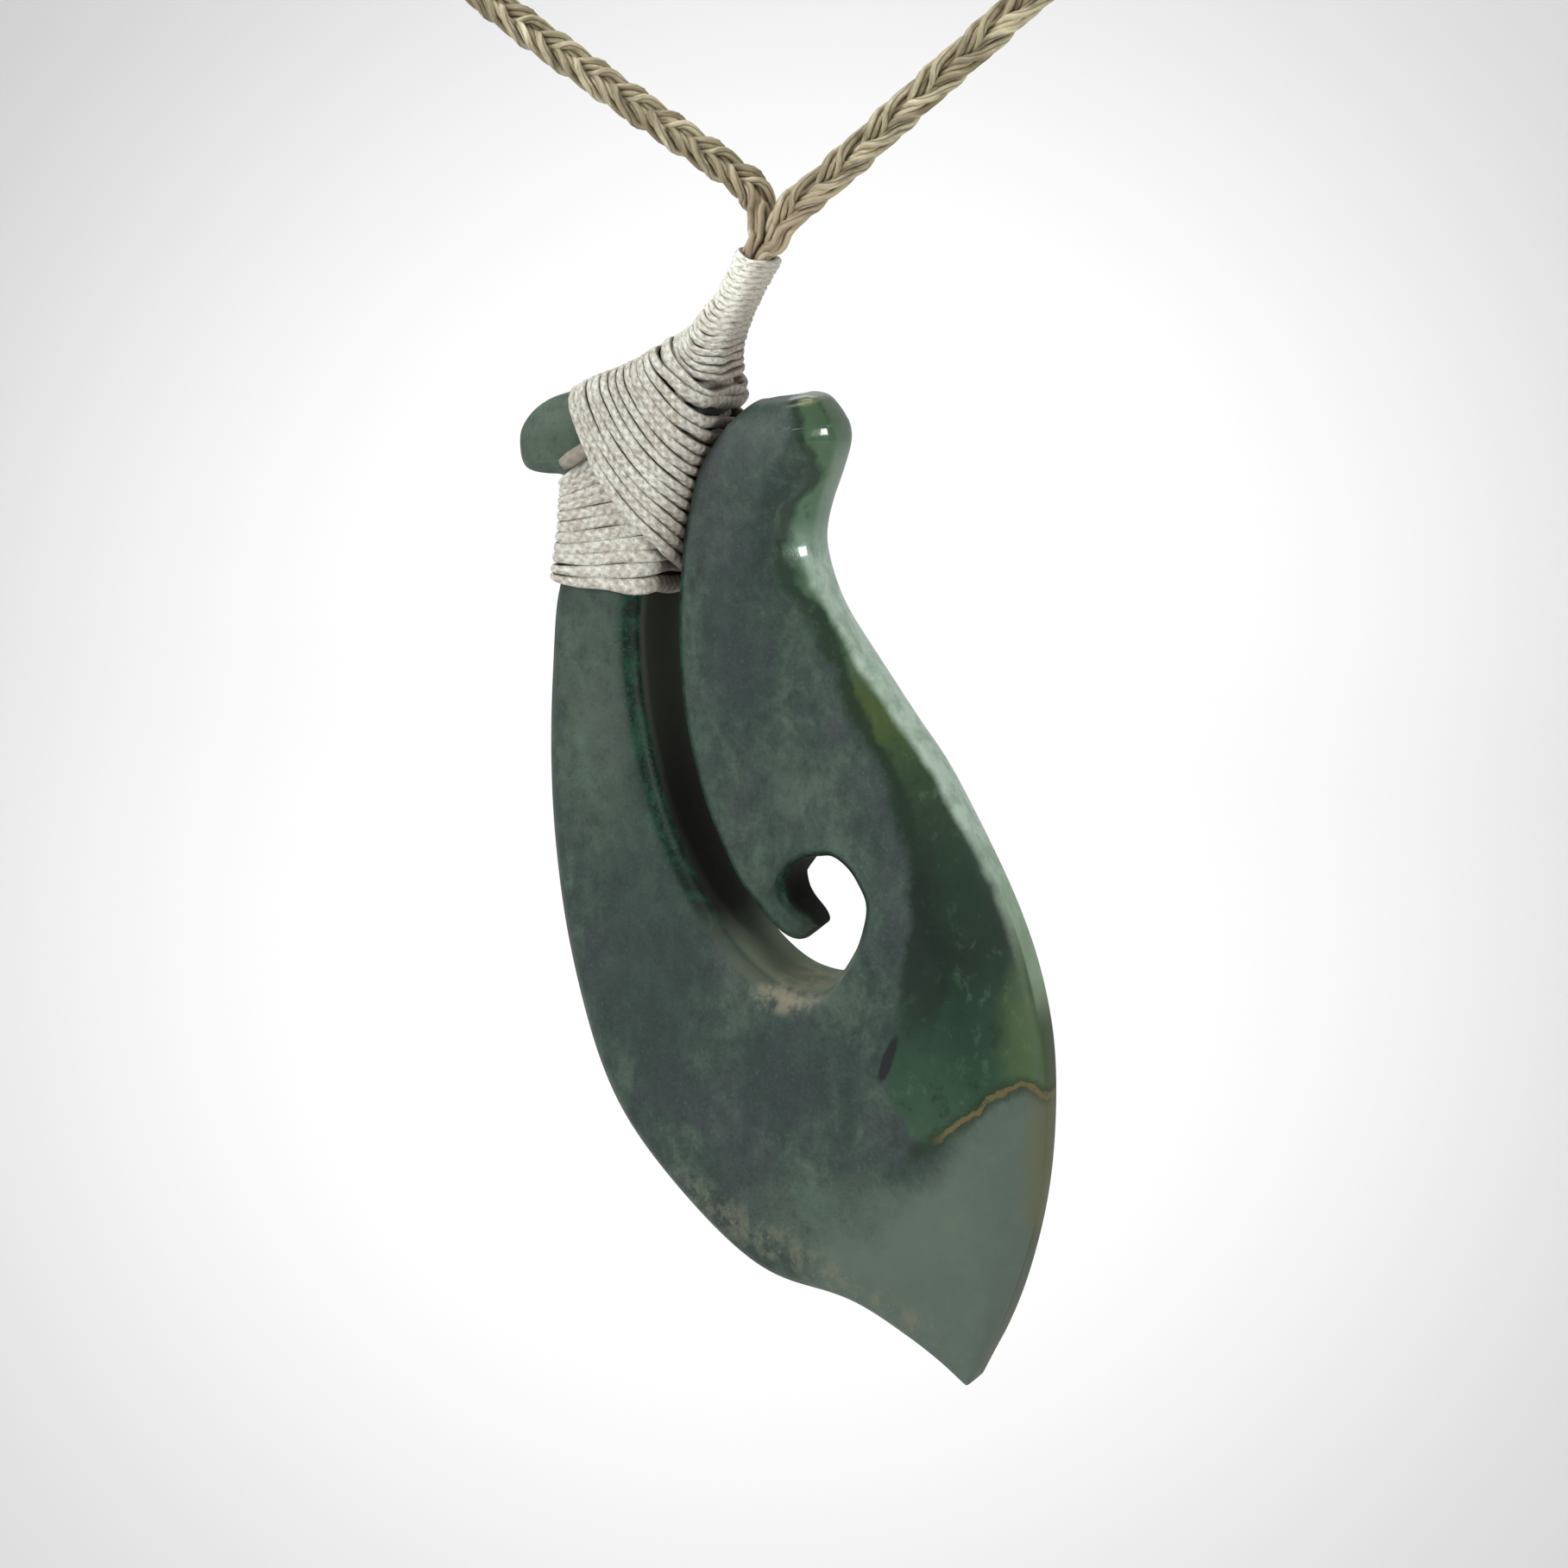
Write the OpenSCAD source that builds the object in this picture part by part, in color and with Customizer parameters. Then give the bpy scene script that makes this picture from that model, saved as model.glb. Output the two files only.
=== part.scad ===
// Hei matau pendant: a carved greenstone fish hook, bound with waxed thread to a plaited neck cord.
// The hook's broad face looks along -Y, and the nape of the neck cord lies at the origin.

/* [Stone hook] */
// Width of the carved stone, from its knob to its outer curve
hook_w = 53.7; // [45:0.5:70]
// Height of the carved stone, from the top of its point to the tip of its tail
hook_h = 101; // [80:1:130]
// Greatest thickness of the stone
hook_t = 10.8; // [8:0.2:14]
// Width of the polished slope down the outer side of the point
slope_w = 6.5; // [4:0.5:9]
// Width of the narrow bevel along the outer edge of the back
back_bevel = 1.6; // [0.6:0.1:2.4]
// Rounding of the edges along the slot and the round opening
slot_round = 1.9; // [0.8:0.1:2.4]

/* [Bindings] */
// Drop from where the two cord ends part to the level of the top of the point
stem_h = 16; // [13:0.5:24]
// Width of the bundle of cord ends inside the stem, from the front to the back
stem_depth = 3.6; // [3.5:0.1:5]
// Thickness of one layer of wound thread
thread_t = 0.8; // [0.5:0.05:1.2]
// Gap between a wound layer and what it is wound on
wrap_gap = 0.1; // [0.05:0.05:0.2]

/* [Neck cord] */
// Diameter of one strand of the plait
strand_d = 0.92; // [0.7:0.02:1.1]
// Width of the plait across its flat face
plait_w = 3.1; // [2.9:0.1:4]
// Thickness of the plait
plait_t = 2.55; // [2.3:0.05:3.4]
// Length in which a strand comes back to its side, where the cord leaves the right of the stem
lay_right = 19.3; // [15:0.1:24]
// The same length where the cord comes back to the left of the stem
lay_left = 14.4; // [12:0.1:24]
// How far the plait's flat face is turned where it leaves the right of the stem
turn_right = 10; // [-90:5:90]
// How far it is turned where it comes back to the left of the stem
turn_left = 55; // [-90:5:90]

/* [Hidden] */

stone_green = [0.27, 0.36, 0.31];
thread_grey = [0.80, 0.76, 0.71];
cord_khaki = [0.62, 0.56, 0.40];

// Where the two cord ends part above the stem. The pendant's own tables are measured from here.
hang = [0, -152, -146];

// Middle line of the plait, from the right of the stem round the neck to the left of the stem
cord_route = [
    [1.1, -152.4, -146.8], [2.1, -152.8, -145.2], [3.9, -153, -143.4], [7.8, -153, -140.5],
    [17.8, -152.4, -132.2], [28, -151.2, -123.7], [45, -147, -108], [61, -137, -89.5],
    [73, -120, -69], [80, -98, -49], [80, -73, -31], [73, -48, -18], [59, -25, -8],
    [40, -8, -2], [20, 0, 0], [0, 1.5, 0.5],
    [-20, 0, 0], [-40, -8, -2], [-59, -25, -8], [-73, -48, -19], [-80, -73, -33], [-80, -98, -52],
    [-74, -120, -73], [-63, -137, -94], [-47, -147.5, -111], [-30, -151, -123.4],
    [-16.6, -151.6, -132.2], [-3.9, -151, -140.5], [-1.3, -151, -143], [-0.8, -151.2, -145],
    [-0.9, -151.6, -146.8]];
nape_centre = [0, -76, 0];   // the loop's middle, seen from above

// A height share runs from -1 at the parting of the cord ends, through 0 at the level of the
// top of the point, to 1 at the tip of the tail. A width share is measured from the hanging line.
function height(share) = share < 0 ? -stem_h * (1 + share) : -stem_h - hook_h * share;
function at(x_share, z_share) = [hook_w * x_share, height(z_share)];

// Sections across the hook, from the head of the shank down round the bend to the root of the barb.
// Columns: edge along the slot [x, z], outer edge [x, z], thickness at the slot, thickness at the
// outer edge, outer slope, slot rounding, steps
IN_X = 0; IN_Z = 1; OUT_X = 2; OUT_Z = 3; IN_THICK = 4; THICK = 5; SLOPE = 6; ROUND = 7; STEPS = 8;
bend_rows = [
    [-0.198, -0.155, -0.352,  0.006, 0.40, 0.40, 0.08, 0.6, 1],
    [-0.156, -0.150, -0.389, -0.010, 0.74, 0.74, 0.13, 0.8, 1],
    [-0.129, -0.056, -0.449,  0.011, 0.90, 0.90, 0.15, 0.9, 1],
    [-0.124,  0.014, -0.484,  0.033, 0.97, 0.97, 0.17, 0.9, 2],
    [-0.138,  0.044, -0.491,  0.057, 0.97, 0.97, 0.17, 0.9, 2],
    [-0.163,  0.069, -0.479,  0.079, 0.97, 0.97, 0.17, 0.9, 2],
    [-0.183,  0.093, -0.424,  0.083, 0.97, 0.97, 0.16, 0.9, 2],
    [-0.198,  0.115, -0.390,  0.087, 0.97, 0.97, 0.16, 0.9, 2],
    [-0.217,  0.143, -0.395,  0.137, 0.97, 0.97, 0.17, 1.0, 2],
    [-0.239,  0.186, -0.410,  0.180, 1.00, 1.00, 0.18, 1.0, 2],
    [-0.250,  0.218, -0.427,  0.212, 1.00, 1.00, 0.18, 1.0, 2],
    [-0.254,  0.260, -0.438,  0.262, 1.00, 1.00, 0.18, 1.0, 3],
    [-0.244,  0.329, -0.453,  0.358, 1.00, 1.00, 0.18, 1.0, 3],
    [-0.209,  0.418, -0.452,  0.465, 1.00, 1.00, 0.18, 1.0, 3],
    [-0.146,  0.496, -0.426,  0.586, 1.00, 1.00, 0.20, 1.0, 3],
    [-0.078,  0.550, -0.357,  0.717, 1.00, 0.97, 0.20, 1.0, 3],
    [-0.012,  0.581, -0.227,  0.813, 1.00, 0.90, 0.18, 1.0, 3],
    [ 0.045,  0.592, -0.056,  0.893, 1.00, 0.80, 0.16, 1.0, 3],
    [ 0.086,  0.592,  0.123,  0.916, 1.00, 0.70, 0.13, 0.9, 3],
    [ 0.114,  0.586,  0.272,  0.963, 1.00, 0.58, 0.10, 0.7, 3],
    [ 0.129,  0.578,  0.339,  0.994, 1.00, 0.46, 0.08, 0.5, 1],
    [ 0.135,  0.573,  0.352,  1.000, 1.00, 0.44, 0.08, 0.5, 1],
    [ 0.143,  0.568,  0.357,  0.992, 0.99, 0.46, 0.08, 0.5, 2],
    [ 0.160,  0.554,  0.432,  0.918, 0.98, 0.62, 0.27, 0.5, 3],
    [ 0.177,  0.536,  0.494,  0.799, 0.97, 0.76, 0.66, 0.5, 3],
    [ 0.192,  0.503,  0.509,  0.673, 0.96, 0.86, 0.98, 0.5, 3],
    [ 0.175,  0.481,  0.486,  0.583, 0.94, 0.88, 1.00, 0.5, 3],
    [ 0.155,  0.467,  0.440,  0.507, 0.91, 0.86, 1.00, 0.5, 3],
    [ 0.125,  0.457,  0.376,  0.433, 0.87, 0.82, 0.88, 0.5, 3],
    [ 0.098,  0.458,  0.310,  0.367, 0.84, 0.80, 0.70, 0.5, 2],
    [ 0.073,  0.460,  0.261,  0.330, 0.80, 0.77, 0.62, 0.5, 2],
    [ 0.052,  0.465,  0.225,  0.301, 0.76, 0.74, 0.58, 0.5, 2],
    [ 0.034,  0.472,  0.196,  0.277, 0.71, 0.71, 0.54, 0.5, 1]];
// The same columns, from the root of the barb up to the top of the point
point_rows = [
    [-0.070,  0.495,  0.143,  0.236, 0.71, 0.71, 0.48, 0.45, 2],
    [-0.099,  0.463,  0.112,  0.210, 0.74, 0.74, 0.47, 0.45, 3],
    [-0.140,  0.405,  0.086,  0.176, 0.80, 0.80, 0.52, 0.45, 3],
    [-0.171,  0.322,  0.076,  0.145, 0.84, 0.84, 0.60, 0.45, 3],
    [-0.177,  0.246,  0.090,  0.113, 0.85, 0.85, 0.58, 0.45, 3],
    [-0.169,  0.182,  0.114,  0.081, 0.85, 0.85, 0.54, 0.45, 3],
    [-0.153,  0.128,  0.133,  0.050, 0.84, 0.84, 0.49, 0.45, 3],
    [-0.125,  0.073,  0.128,  0.028, 0.80, 0.80, 0.43, 0.45, 3],
    [-0.084,  0.040,  0.109,  0.010, 0.72, 0.72, 0.35, 0.40, 2],
    [-0.054,  0.020,  0.094,  0.001, 0.62, 0.62, 0.28, 0.40, 1],
    [-0.022,  0.006,  0.070, -0.004, 0.44, 0.44, 0.20, 0.40, 1]];
// Sections of the barb below its root. Columns: left edge [x, z], right edge [x, z], thickness
barb_rows = [
    [-0.044,  0.516,  0.012,  0.488, 0.62],
    [-0.025,  0.531,  0.019,  0.504, 0.56],
    [-0.006,  0.542,  0.040,  0.516, 0.50],
    [ 0.013,  0.549,  0.062,  0.525, 0.44],
    [ 0.034,  0.551,  0.072,  0.535, 0.37]];
ROOT_COLUMNS = 3;            // columns between the two ends of the barb's root
END_RINGS = 3;               // sections over which the point's edges turn in to close its top

// Turns of thread, from the mouth of the stem to the last slanting turn over the shank.
// Columns: left end [x, z], right end [x, z], share of the shank's depth, squareness of the corners
stem_rows = [
    [-0.039, -0.881,  0.008, -0.819, 0.00, 0.0],
    [-0.058, -0.750, -0.013, -0.706, 0.00, 0.0],
    [-0.080, -0.619, -0.038, -0.575, 0.02, 0.0],
    [-0.106, -0.512, -0.060, -0.456, 0.12, 0.0],
    [-0.134, -0.394, -0.080, -0.306, 0.26, 0.1],
    [-0.151, -0.344, -0.091, -0.175, 0.42, 0.2],
    [-0.162, -0.322, -0.093, -0.024, 0.56, 0.4]];
diagonal_rows = [
    [-0.170, -0.307, -0.097,  0.008, 0.62, 0.4],
    [-0.184, -0.276, -0.102,  0.022, 0.76, 0.5],
    [-0.203, -0.237, -0.108,  0.037, 0.93, 0.7],
    [-0.242, -0.162, -0.133,  0.062, 0.99, 0.9],
    [-0.313, -0.075, -0.163,  0.099, 1.00, 1.0],
    [-0.359,  0.002, -0.193,  0.145, 1.00, 1.0]];
// Level turns round the shank, from under the knob down. Columns as above
shank_rows = [
    [-0.392,  0.091, -0.140,  0.047, 1.00, 1.0],
    [-0.394,  0.113, -0.168,  0.081, 1.00, 1.0],
    [-0.400,  0.137, -0.197,  0.119, 1.00, 1.0],
    [-0.408,  0.158, -0.214,  0.148, 1.00, 1.0],
    [-0.415,  0.176, -0.227,  0.171, 1.00, 1.0],
    [-0.418,  0.187, -0.235,  0.186, 1.00, 1.0]];
corner_round = 1.2;          // corner of the first layer on the stone

function mix(a, b, t) = a + (b - a) * t;
function smooth(t) = let (c = max(0, min(1, t))) c * c * (3 - 2 * c);
function clamped(rows, i) = rows[max(0, min(len(rows) - 1, i))];
function before(rows, i) = i > 0 ? rows[i - 1] : 2 * rows[0] - rows[1];
function after(rows, i) = i < len(rows) - 1 ? rows[i + 1] : 2 * rows[i] - rows[i - 1];

// A smooth curve through whole rows, so that every column runs on evenly
function between(rows, i, t) =
    let (a = before(rows, i), b = rows[i], c = rows[i + 1], d = after(rows, i + 1))
    0.5 * (2 * b + (c - a) * t + (2 * a - 5 * b + 4 * c - d) * t * t + (3 * b - a - 3 * c + d) * t * t * t);
function refined(rows, steps) = [
    for (i = [0:len(rows) - 2]) for (k = [0:steps - 1]) between(rows, i, k / steps),
    rows[len(rows) - 1]];
function refined_by_row(rows) = [
    for (i = [0:len(rows) - 2]) for (k = [0:rows[i][STEPS] - 1]) between(rows, i, k / rows[i][STEPS]),
    rows[len(rows) - 1]];

// Unit normal of an edge at one of its points, on its left as it runs, or its right for side -1
function unit(v) = v / norm(v);
function edge_normal(points, i, side) =
    let (run = unit(clamped(points, i + 1) - clamped(points, i - 1)))
    side * [-run[1], run[0]];
function in_depth(point, y) = [point[0], y, point[1]];

// Faces between two rings, each four-cornered patch as two triangles
function patch(a, b, c, d) = [[a, b, c], [a, c, d]];

// Stone hook
FACE_POINTS = 5;             // points across each broad face of a section
RING = 20;                   // points round a section
WALL_FROM = 15;              // the last point of the back face, where the slot's wall begins

function section_ring(inner, outer, in_normal, out_normal, in_thickness, thickness, slope, rounding) =
    let (half = thickness / 2,
         in_half = in_thickness / 2,
         slope_run = slope_w * slope,
         slope_drop = min(slope_run, 0.48 * thickness),
         back_run = min(slope_run, back_bevel),
         back_drop = 0.8 * back_run,
         back_round = 0.4 * rounding,
         face_in = inner + in_normal * rounding,
         face_out = outer + out_normal * slope_run,
         back_in = inner + in_normal * back_round,
         back_out = outer + out_normal * back_run)
    [for (k = [0:FACE_POINTS - 1]) let (s = k / (FACE_POINTS - 1))
         in_depth(mix(face_in, face_out, s), -mix(in_half, half, s * s)),
     in_depth(outer + out_normal * slope_run * 0.5, slope_drop * 0.5 - half),
     in_depth(outer + out_normal * slope_run * 0.07, slope_drop * 0.93 - half),
     in_depth(outer, slope_drop * 1.12 - half),
     in_depth(outer, half - back_drop * 1.1),
     in_depth(outer + out_normal * back_run * 0.12, half - back_drop * 0.72),
     in_depth(outer + out_normal * back_run * 0.45, half - back_drop * 0.32),
     for (k = [0:FACE_POINTS - 1]) let (s = 1 - k / (FACE_POINTS - 1))
         in_depth(mix(back_in, back_out, s), mix(in_half, half, s * s)),
     in_depth(inner + in_normal * back_round * 0.3, in_half - back_round * 0.35),
     in_depth(inner, in_half - back_round * 1.1),
     in_depth(inner, rounding * 1.1 - in_half),
     in_depth(inner + in_normal * rounding * 0.3, rounding * 0.35 - in_half)];

function barb_ring(left, right, thickness, columns) =
    let (half = thickness / 2,
         rounding = min(slot_round * 0.5, 0.25 * thickness),
         back_round = 0.4 * rounding,
         across = (left - right) / norm(left - right))
    [for (k = [0:columns - 1])
         in_depth(mix(right + across * rounding, left - across * rounding, k / (columns - 1)), -half),
     in_depth(left - across * rounding * 0.3, rounding * 0.35 - half),
     in_depth(left, rounding * 1.1 - half),
     in_depth(left, half - back_round * 1.1),
     in_depth(left - across * back_round * 0.3, half - back_round * 0.35),
     for (k = [0:columns - 1])
         in_depth(mix(left - across * back_round, right + across * back_round, k / (columns - 1)), half),
     in_depth(right + across * back_round * 0.3, half - back_round * 0.35),
     in_depth(right, half - back_round * 1.1),
     in_depth(right, rounding * 1.1 - half),
     in_depth(right + across * rounding * 0.3, rounding * 0.35 - half)];

module stone_hook() {
    bend = refined_by_row(bend_rows);
    point = refined_by_row(point_rows);
    root_at = len(bend) - 1;
    root = [for (k = [1:ROOT_COLUMNS]) mix(bend[root_at], point[0], k / (ROOT_COLUMNS + 1))];
    columns = concat(bend, root, point);
    last = len(columns) - 1;
    point_at = root_at + ROOT_COLUMNS + 1;
    inner = [for (c = columns) at(c[IN_X], c[IN_Z])];
    outer = [for (c = columns) at(c[OUT_X], c[OUT_Z])];
    bend_edge = [for (i = [0:root_at]) inner[i]];
    point_edge = [for (i = [point_at:last]) inner[i]];
    rings = [for (i = [0:last])
        let (thickness = hook_t * columns[i][THICK],
             in_thickness = hook_t * columns[i][IN_THICK],
             across = unit(outer[i] - inner[i]),
             end_share = i == 0 ? 1 : max(0, 1 - (last - i) / END_RINGS),
             on_root = i > root_at && i < point_at,
             in_turn = i <= root_at ? edge_normal(bend_edge, i, -1)
                 : on_root ? across : edge_normal(point_edge, i - point_at, -1))
        section_ring(inner[i], outer[i],
                     unit(mix(in_turn, across, end_share)),
                     unit(mix(edge_normal(outer, i, 1), -across, end_share)),
                     in_thickness, thickness, columns[i][SLOPE],
                     on_root ? 0 : min(slot_round * columns[i][ROUND], 0.25 * in_thickness))];

    // The barb's first ring is made of the points that its root shares with the hook's columns
    root_span = ROOT_COLUMNS + 2;
    shared = concat(
        [for (k = [0:root_span - 1]) (root_at + k) * RING],
        [for (k = [RING - 1:-1:WALL_FROM + 1]) point_at * RING + k],
        [for (k = [root_span - 1:-1:0]) (root_at + k) * RING + WALL_FROM],
        [for (k = [WALL_FROM + 1:RING - 1]) root_at * RING + k]);
    around = len(shared);
    first_free = len(columns) * RING;
    barb = [for (r = barb_rows) each barb_ring(at(r[0], r[1]), at(r[2], r[3]), hook_t * r[4], root_span)];
    function barb_index(section, k) = section == 0 ? shared[k % around]
        : first_free + (section - 1) * around + k % around;
    tip = len(barb_rows);

    sides = [for (i = [0:last - 1]) for (k = [0:RING - 1])
        if (!(i >= root_at && i < point_at && k >= WALL_FROM))
        let (next = (k + 1) % RING)
        each patch(i * RING + k, (i + 1) * RING + k, (i + 1) * RING + next, i * RING + next)];
    end_patches = concat(
        [for (k = [0:WALL_FROM / 2 - 1]) [k, k + 1, WALL_FROM - 1 - k, WALL_FROM - k]],
        [[RING - 1, 0, WALL_FROM, WALL_FROM + 1],
         [RING - 2, RING - 1, WALL_FROM + 1, WALL_FROM + 2]]);
    head_end = [for (q = end_patches) each patch(q[0], q[1], q[2], q[3])];
    point_end = [for (q = end_patches)
        each patch(last * RING + q[3], last * RING + q[2], last * RING + q[1], last * RING + q[0])];
    barb_sides = [for (s = [0:tip - 1]) for (k = [0:around - 1])
        each patch(barb_index(s, k), barb_index(s + 1, k), barb_index(s + 1, k + 1), barb_index(s, k + 1))];
    back_at = root_span + 2 * (RING - WALL_FROM) / 2 + 3;
    barb_end_patches = concat(
        [for (k = [0:root_span - 2]) [k, k + 1, back_at - 1 - k, back_at - k]],
        [[root_span - 1, root_span, root_span + 3, root_span + 4],
         [root_span, root_span + 1, root_span + 2, root_span + 3],
         [back_at, back_at + 1, around - 1, around],
         [back_at + 1, back_at + 2, around - 2, around - 1]]);
    barb_end = [for (q = barb_end_patches)
        each patch(barb_index(tip, q[3]), barb_index(tip, q[2]), barb_index(tip, q[1]), barb_index(tip, q[0]))];

    color(stone_green)
    translate(hang)
    polyhedron(points = concat([for (r = rings) each r], barb),
               faces = concat(sides, head_end, point_end, barb_sides, barb_end));
}

// Wound walls
CORNER_POINTS = 5;           // points round each corner of a turn
TURN_POINTS = 4 * CORNER_POINTS;

// A turn is a rounded rectangle in the plane of its two ends and the front-to-back direction
function turn_ring(left, right, half_depth, square_corner, square, grow) =
    let (middle = (left + right) / 2,
         across = (right - left) / norm(right - left),
         half_width = norm(right - left) / 2,
         widest = 0.85 * min(half_width, half_depth),
         round_off = mix(widest, min(square_corner, widest), square))
    [for (quarter = [0:3]) for (k = [0:CORNER_POINTS - 1])
        let (angle = 90 * quarter + 90 * k / (CORNER_POINTS - 1),
             side = quarter == 0 || quarter == 3 ? 1 : -1,
             depth_side = quarter < 2 ? 1 : -1,
             run = side * (half_width - round_off) + (round_off + grow) * cos(angle),
             depth = depth_side * (half_depth - round_off) + (round_off + grow) * sin(angle))
        in_depth(middle + across * run, depth)];

module wound_wall(rows, steps, layers_below) {
    turns = refined(rows, steps);
    last = len(turns) - 1;
    shank_depth = hook_t / 2 + wrap_gap + layers_below * (thread_t + wrap_gap);
    function ring(turn, grow) =
        turn_ring(at(turn[0], turn[1]), at(turn[2], turn[3]),
                  mix(stem_depth / 2, shank_depth, turn[4]),
                  corner_round + layers_below * thread_t * 0.5, turn[5], grow);
    outside = [for (t = turns) each ring(t, thread_t)];
    inside = [for (t = turns) each ring(t, 0)];
    inner_from = len(outside);
    faces = [for (k = [0:TURN_POINTS - 1])
        let (next = (k + 1) % TURN_POINTS, low = last * TURN_POINTS)
        each concat(
            [for (i = [0:last - 1]) let (a = i * TURN_POINTS, b = a + TURN_POINTS)
                each concat(patch(a + k, a + next, b + next, b + k),
                            patch(inner_from + a + k, inner_from + b + k,
                                  inner_from + b + next, inner_from + a + next))],
            patch(next, k, inner_from + k, inner_from + next),
            patch(low + k, low + next, inner_from + low + next, inner_from + low + k))];
    color(thread_grey)
    translate(hang)
    polyhedron(points = concat(outside, inside), faces = faces);
}

module stem_binding() wound_wall(stem_rows, 2, 1);
module diagonal_binding() wound_wall(diagonal_rows, 1, 1);
module shank_binding() wound_wall(shank_rows, 1, 0);

// Neck cord
END_STRAIGHT = 3;            // length of each cord end that lies straight inside the stem
END_BLEND = 3.6;             // length in which the plait opens out of its end
RING_STEP = 2.1;             // length along the plait between two rings of a strand
STRAND_SIDES = 5;
ROUTE_STEPS = 6;

// Middles of the stem at its mouth and one row down it, and the direction across it
function turn_end(row, k) = at(stem_rows[row][k], stem_rows[row][k + 1]);
stem_mouth = (turn_end(0, 0) + turn_end(0, 2)) / 2;
stem_deep = (turn_end(1, 0) + turn_end(1, 2)) / 2;
stem_across = (turn_end(0, 2) - turn_end(0, 0)) / norm(turn_end(0, 2) - turn_end(0, 0));
stem_width = norm(turn_end(0, 2) - turn_end(0, 0));
end_offset = (stem_width - strand_d) / 2 - 2.5 * wrap_gap;
end_spread = (stem_depth - strand_d) / 2 - 3 * wrap_gap;

function in_stem(place, side) = hang + in_depth(place + side * stem_across * end_offset, 0);
route = refined(concat(
    [in_stem(stem_deep, 1), in_stem(mix(stem_deep, stem_mouth, 0.6), 1), in_stem(stem_mouth * 0.6, 1)],
    cord_route,
    [in_stem(stem_mouth * 0.6, -1), in_stem(mix(stem_deep, stem_mouth, 0.6), -1), in_stem(stem_deep, -1)]),
    ROUTE_STEPS);

function run_lengths(points, i = 0, total = 0) = i == len(points) - 1 ? [total]
    : concat([total], run_lengths(points, i + 1, total + norm(points[i + 1] - points[i])));
route_run = run_lengths(route);
route_length = route_run[len(route_run) - 1];
run_table = [for (i = [0:len(route) - 1]) [route_run[i], i]];
function route_at(run) =
    let (place = lookup(run, run_table), i = min(floor(place), len(route) - 2))
    mix(route[i], route[i + 1], place - i);

woven_length = route_length - 2 * (END_STRAIGHT + END_BLEND);
// The lay shortens evenly along the cord, and both ends stop where the strands lie side by side
lay_change = (lay_right / lay_left - 1) / 2;
thirds = round(3 * woven_length * (1 + lay_change) / lay_right);
function woven_angle(run) =
    let (share = max(0, min(1, (run - END_STRAIGHT - END_BLEND) / woven_length)))
    60 + 120 * thirds * (share + lay_change * share * share) / (1 + lay_change);
function end_fade(run) =
    smooth((min(run, route_length - run) - END_STRAIGHT) / END_BLEND);

// Across and thickness directions of the plait, its flat face looking out from the neck
function unit(v) = v / norm(v);
function plait_frame(run) =
    let (place = route_at(run),
         along = unit(route_at(run + 0.5) - route_at(run - 0.5)),
         radial = [place[0] - nape_centre[0], place[1] - nape_centre[1], 0],
         out = unit(radial - along * (radial * along)),
         side = cross(along, out),
         turn = mix(turn_right, turn_left, run / route_length))
    [place, side * cos(turn) + out * sin(turn), out * cos(turn) - side * sin(turn)];

weave_w = (plait_w - strand_d) / 2;
weave_t = (plait_t - strand_d) / 2;
function strand_place(run, number) =
    let (frame = plait_frame(run),
         angle = woven_angle(run) + 120 * number,
         fade = end_fade(run),
         // Straight ends stand in a row from front to back, in the order of the nearest weave
         row_place = end_spread * sin(angle) / sin(60),
         woven = frame[1] * weave_w * sin(angle) + frame[2] * weave_t * sin(2 * angle),
         row = [0, -row_place, 0])
    frame[0] + mix(row, woven, fade);

module strand(number) {
    rings = ceil(route_length / RING_STEP);
    places = [for (i = [0:rings]) strand_place(i * route_length / rings, number)];
    points = [for (i = [0:rings])
        let (along = unit(clamped(places, i + 1) - clamped(places, i - 1)),
             out = plait_frame(i * route_length / rings)[2],
             up = unit(out - along * (out * along)),
             side = cross(along, up))
        for (k = [0:STRAND_SIDES - 1])
            places[i] + strand_d / 2 * (up * cos(360 * k / STRAND_SIDES) + side * sin(360 * k / STRAND_SIDES))];
    faces = concat(
        [[for (k = [0:STRAND_SIDES - 1]) k]],
        [[for (k = [STRAND_SIDES - 1:-1:0]) rings * STRAND_SIDES + k]],
        [for (i = [0:rings - 1]) for (k = [0:STRAND_SIDES - 1])
            let (a = i * STRAND_SIDES, b = a + STRAND_SIDES, next = (k + 1) % STRAND_SIDES)
            each patch(a + k, b + k, b + next, a + next)]);
    color(cord_khaki)
    polyhedron(points = points, faces = faces);
}

module plait_strand_a() strand(0);
module plait_strand_b() strand(1);
module plait_strand_c() strand(2);

stone_hook();
shank_binding();
diagonal_binding();
stem_binding();
plait_strand_a();
plait_strand_b();
plait_strand_c();
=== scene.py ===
import bpy, bmesh, math
from mathutils import Matrix, Quaternion, Vector, noise


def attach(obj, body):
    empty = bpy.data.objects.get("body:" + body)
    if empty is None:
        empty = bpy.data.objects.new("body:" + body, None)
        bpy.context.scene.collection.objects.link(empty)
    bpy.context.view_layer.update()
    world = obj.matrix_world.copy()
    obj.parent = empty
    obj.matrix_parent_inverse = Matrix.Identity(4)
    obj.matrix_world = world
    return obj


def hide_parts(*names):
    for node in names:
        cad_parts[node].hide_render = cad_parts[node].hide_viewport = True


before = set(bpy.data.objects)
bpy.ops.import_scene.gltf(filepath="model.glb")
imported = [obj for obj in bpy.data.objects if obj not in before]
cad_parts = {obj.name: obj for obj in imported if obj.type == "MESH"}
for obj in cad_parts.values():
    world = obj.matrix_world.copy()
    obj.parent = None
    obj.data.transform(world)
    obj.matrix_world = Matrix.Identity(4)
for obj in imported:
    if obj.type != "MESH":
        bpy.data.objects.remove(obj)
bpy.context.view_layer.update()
world = bpy.context.scene
world.view_settings.view_transform = "Standard"
mm = 0.001
join = 1e-7  # points nearer than this are one point
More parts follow.
